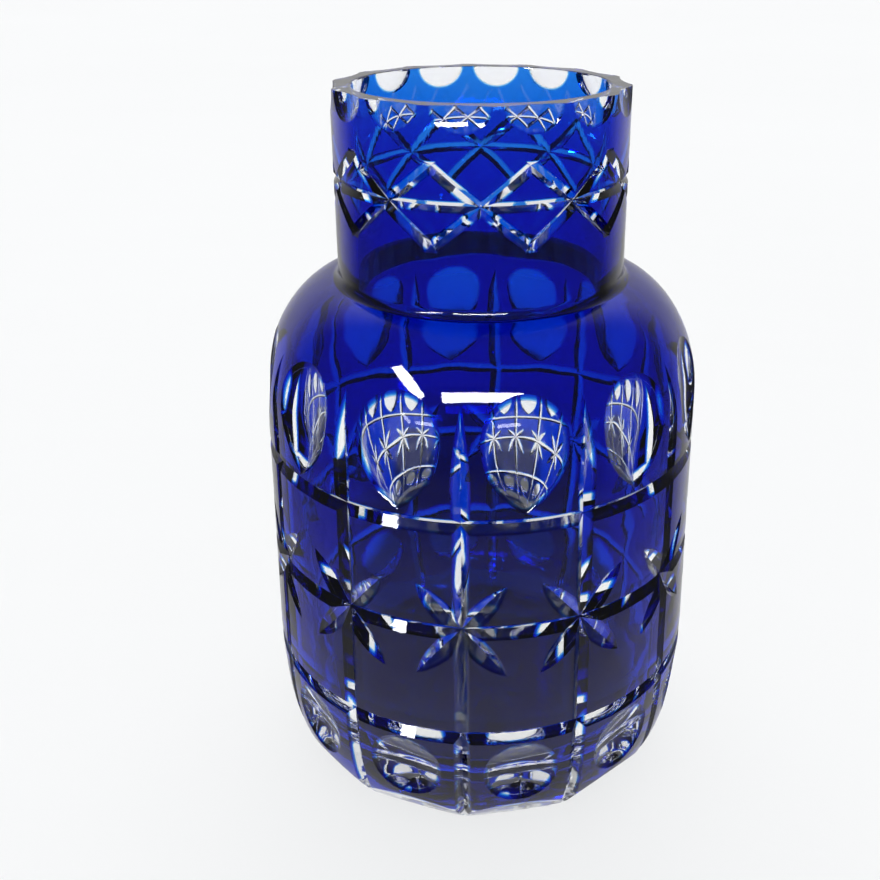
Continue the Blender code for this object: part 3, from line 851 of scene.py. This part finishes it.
def make_world():
    """What the glass mirrors: a pale table below it, a pale wall behind it, and a dim room."""
    world = bpy.data.worlds.new("studio")
    world.use_nodes = True
    nodes = world.node_tree.nodes
    links = world.node_tree.links
    direction = nodes.new("ShaderNodeTexCoord")
    split = nodes.new("ShaderNodeSeparateXYZ")
    brightest = nodes.new("ShaderNodeMath")
    brightest.operation = "MAXIMUM"
    links.new(direction.outputs["Generated"], split.inputs["Vector"])
    pale_sides = (("Z", TABLE_EDGE, TABLE_NEAR, TABLE_LIGHT), ("Y", WALL_EDGE, WALL_MIDDLE, WALL_LIGHT))
    for socket, (axis, edge, middle, light) in zip(brightest.inputs, pale_sides):
        side = nodes.new("ShaderNodeMapRange")
        side.interpolation_type = "SMOOTHSTEP"
        side.inputs["From Min"].default_value = edge
        side.inputs["From Max"].default_value = middle
        side.inputs["To Min"].default_value = ROOM_LIGHT
        side.inputs["To Max"].default_value = light
        links.new(split.outputs[axis], side.inputs["Value"])
        links.new(side.outputs["Result"], socket)
    links.new(brightest.outputs["Value"], nodes["Background"].inputs["Color"])
    bpy.context.scene.world = world


def aim(obj, target):
    """Turn a light to face a point."""
    obj.rotation_euler = (Vector(target) - obj.location).to_track_quat("-Z", "Y").to_euler()


def softbox(name, place, target, width, height, roll):
    """A rectangular light, with its place, target and size in vase heights and its roll in degrees.

    It is there for its reflection: the even light on the floor is the key's.
    """
    data = bpy.data.lights.new(name, "AREA")
    data.shape = "RECTANGLE"
    data.size = width * HEIGHT
    data.size_y = height * HEIGHT
    data.energy = math.pi * SOFTBOX_RADIANCE * data.size * data.size_y
    light = bpy.data.objects.new(name, data)
    light.location = Vector(place) * HEIGHT
    light.visible_diffuse = False
    bpy.context.scene.collection.objects.link(light)
    aim(light, Vector(target) * HEIGHT)
    light.rotation_euler.rotate_axis("Z", math.radians(roll))


def make_key():
    """Even light for the floor, from behind the camera, so the vase's shadow falls behind it."""
    data = bpy.data.lights.new("key", "SUN")
    data.energy = KEY_STRENGTH
    data.color = KEY_COLOUR
    data.angle = math.radians(KEY_SPREAD)
    light = bpy.data.objects.new("key", data)
    light.location = Vector(KEY_PLACE) * HEIGHT
    light.visible_glossy = False
    light.visible_transmission = False
    bpy.context.scene.collection.objects.link(light)
    aim(light, (0.0, 0.0, 0.0))


def make_camera():
    """Close view from a little above, as the photograph's perspective gives it."""
    data = bpy.data.cameras.new("camera")
    data.lens = CAMERA_LENS
    data.sensor_width = 36.0
    data.shift_x, data.shift_y = CAMERA_SHIFT
    data.clip_start = 0.01
    camera = bpy.data.objects.new("camera", data)
    camera.location = Vector(CAMERA_PLACE) * HEIGHT
    camera.rotation_euler = (math.radians(90.0 - CAMERA_TILT), 0.0, 0.0)
    bpy.context.scene.collection.objects.link(camera)
    bpy.context.scene.camera = camera


def set_light_paths():
    """Enough bounces for light to cross every layer of glass, no caustics, and plain sRGB colours."""
    cycles = bpy.context.scene.cycles
    cycles.max_bounces = 40
    cycles.transmission_bounces = 40
    cycles.glossy_bounces = 12
    cycles.diffuse_bounces = 3
    cycles.caustics_reflective = False
    cycles.caustics_refractive = False
    bpy.context.scene.view_settings.view_transform = "Standard"


def wheel_cuts():
    """Every family of cutters."""
    return [
        ring_cuts(),
        vertical_cuts(),
        star_cuts(1),
        star_cuts(-1),
        window_cuts(),
        thumb_cuts(),
        heel_facet_cuts(),
        band_cuts(1),
        band_cuts(-1),
        scallop_cuts(),
    ]


def make_vase():
    """Lathe the two glasses, cut them together, and give each casing island its own object."""
    cutters = wheel_cuts()
    tools = bpy.data.collections.new("wheel_cuts")
    for obj in cutters:
        tools.objects.link(obj)
    crystal = make_crystal()
    casing = make_casing()
    mark_fused(crystal, 1)
    mark_fused(casing, -1)
    carve(crystal, tools)
    carve(casing, tools)
    finish(crystal, clear_crystal(), "clear_crystal", "crystal_body")
    cobalt = cobalt_glass()
    for island in loose_parts(casing):
        node = island_node(island)
        island.name = f"cobalt_{node}"
        finish(island, cobalt, "cobalt_casing", node)
    for obj in [casing, *cutters]:
        bpy.data.objects.remove(obj, do_unlink=True)
    bpy.data.collections.remove(tools)


make_vase()
make_floor()
make_backdrop()
make_world()
make_key()
softbox("front_light", (0.0, -4.19, 2.91), (0.0, -0.28, 0.67), width=3.28, height=0.63, roll=0.0)
softbox("side_light", (-2.63, -2.93, 3.27), (-0.09, -0.26, 0.69), width=2.24, height=0.47, roll=-43.0)
make_camera()
set_light_paths()
